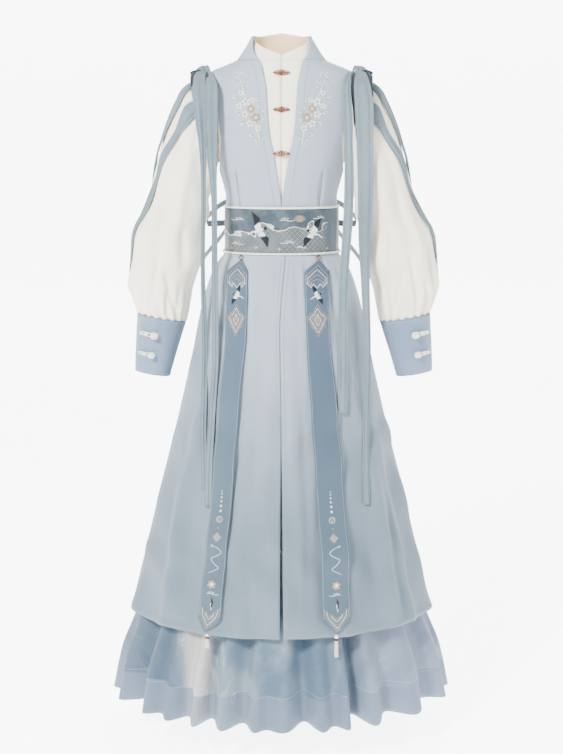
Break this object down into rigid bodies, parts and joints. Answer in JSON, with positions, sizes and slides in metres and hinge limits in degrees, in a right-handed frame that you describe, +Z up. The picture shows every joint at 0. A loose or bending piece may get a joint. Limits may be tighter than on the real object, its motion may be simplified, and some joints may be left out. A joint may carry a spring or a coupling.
{
  "type": "skirt vest and blouse set",
  "caption": "Long open-necked sleeveless vest over a full-sleeved stand-collar blouse and pleated skirt, held by a tied belt, for one wearer.",
  "frame": {"origin": "middle of the shoulder line at the base of the neck, where the wearer carries the set", "axes": "+Z up along the body, -Y out of the front, +X to the wearer's left"},
  "size_m": [0.6965, 0.5689, 1.342],
  "materials": {
    "vest_cloth": "light grey-blue woven, matt with a faint sheen",
    "blouse_cloth": "cream crepe, matt",
    "cuff_cloth": "mid grey-blue woven, matt",
    "skirt_cloth": "sheer pale grey-blue with washes of blue, grey and cream",
    "belt_cloth": "grey-blue brocade, embroidered",
    "piping_cord": "off-white twisted cord",
    "streamer_cloth": "steel-blue satin, embroidered",
    "ribbon_cloth": "grey-blue georgette",
    "knot_cord": "white knotted cord",
    "tassel_thread": "white thread and bead",
    "bronze": "rose-bronze, cast and polished"
  },
  "bodies": {
    "root": {"vest_front_l": "vest_cloth", "vest_front_r": "vest_cloth", "vest_back": "vest_cloth", "vest_collar": "vest_cloth", "blouse_front_l": "blouse_cloth", "blouse_front_r": "blouse_cloth", "blouse_back": "blouse_cloth", "blouse_collar": "blouse_cloth", "blouse_sleeve_l": "blouse_cloth", "blouse_sleeve_r": "blouse_cloth", "blouse_cuff_l": "cuff_cloth", "blouse_cuff_r": "cuff_cloth", "skirt_front": "skirt_cloth", "skirt_back": "skirt_cloth", "skirt_waistband": "skirt_cloth", "belt": "belt_cloth", "belt_piping_top": "piping_cord", "belt_piping_bottom": "piping_cord", "bow_knot": "belt_cloth", "bow_loop_l": "belt_cloth", "bow_loop_r": "belt_cloth", "bow_tail_l": "belt_cloth", "bow_tail_r": "belt_cloth", "streamer_l": "streamer_cloth", "streamer_r": "streamer_cloth", "streamer_hook_l": "bronze", "streamer_hook_r": "bronze", "pendant_l": "tassel_thread", "pendant_r": "tassel_thread", "ribbon_outer_l": "ribbon_cloth", "ribbon_outer_r": "ribbon_cloth", "ribbon_inner_l": "ribbon_cloth", "ribbon_inner_r": "ribbon_cloth", "ribbon_hang_outer_l": "ribbon_cloth", "ribbon_hang_outer_r": "ribbon_cloth", "ribbon_hang_inner_l": "ribbon_cloth", "ribbon_hang_inner_r": "ribbon_cloth", "shoulder_gather_l": "ribbon_cloth", "shoulder_gather_r": "ribbon_cloth", "clasp_1": "bronze", "clasp_2": "bronze", "clasp_3": "bronze", "cuff_knot_l_1": "knot_cord", "cuff_knot_l_2": "knot_cord", "cuff_knot_r_1": "knot_cord", "cuff_knot_r_2": "knot_cord"}
  },
  "joints": []
}
